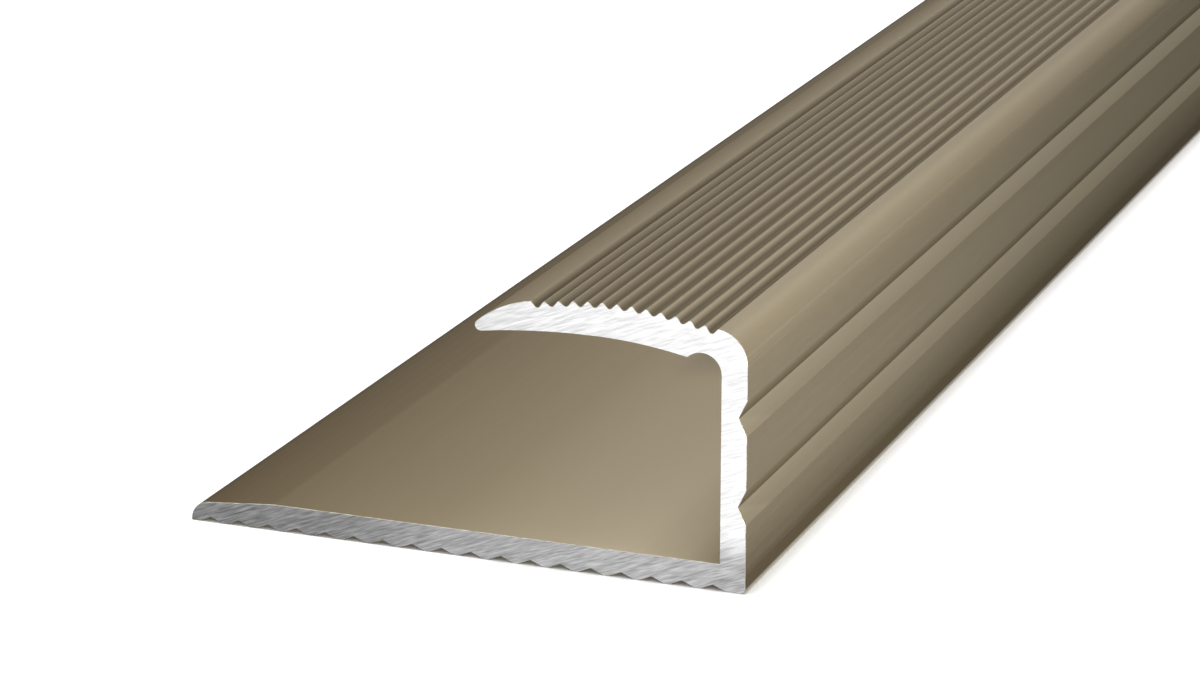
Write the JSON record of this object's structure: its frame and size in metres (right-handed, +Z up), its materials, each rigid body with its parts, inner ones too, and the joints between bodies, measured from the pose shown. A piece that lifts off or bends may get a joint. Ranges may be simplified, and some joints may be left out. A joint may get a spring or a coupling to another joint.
{
  "type": "edge trim profile",
  "caption": "Straight extruded aluminium edge trim with a serrated base, an upright wall and an arched ribbed flange that covers the cut edge of a floor covering.",
  "frame": {"origin": "middle of the bounding box on the plane that the base stands on", "axes": "+X across the base towards the outer face of the wall, +Y along the profile, +Z up from the base to the flange"},
  "size_m": [0.027, 0.9, 0.0126],
  "materials": {
    "anodised_aluminium": "bronze anodised, satin, with bare sawn ends"
  },
  "bodies": {
    "root": {"edge_trim_profile": "anodised_aluminium"}
  },
  "joints": []
}
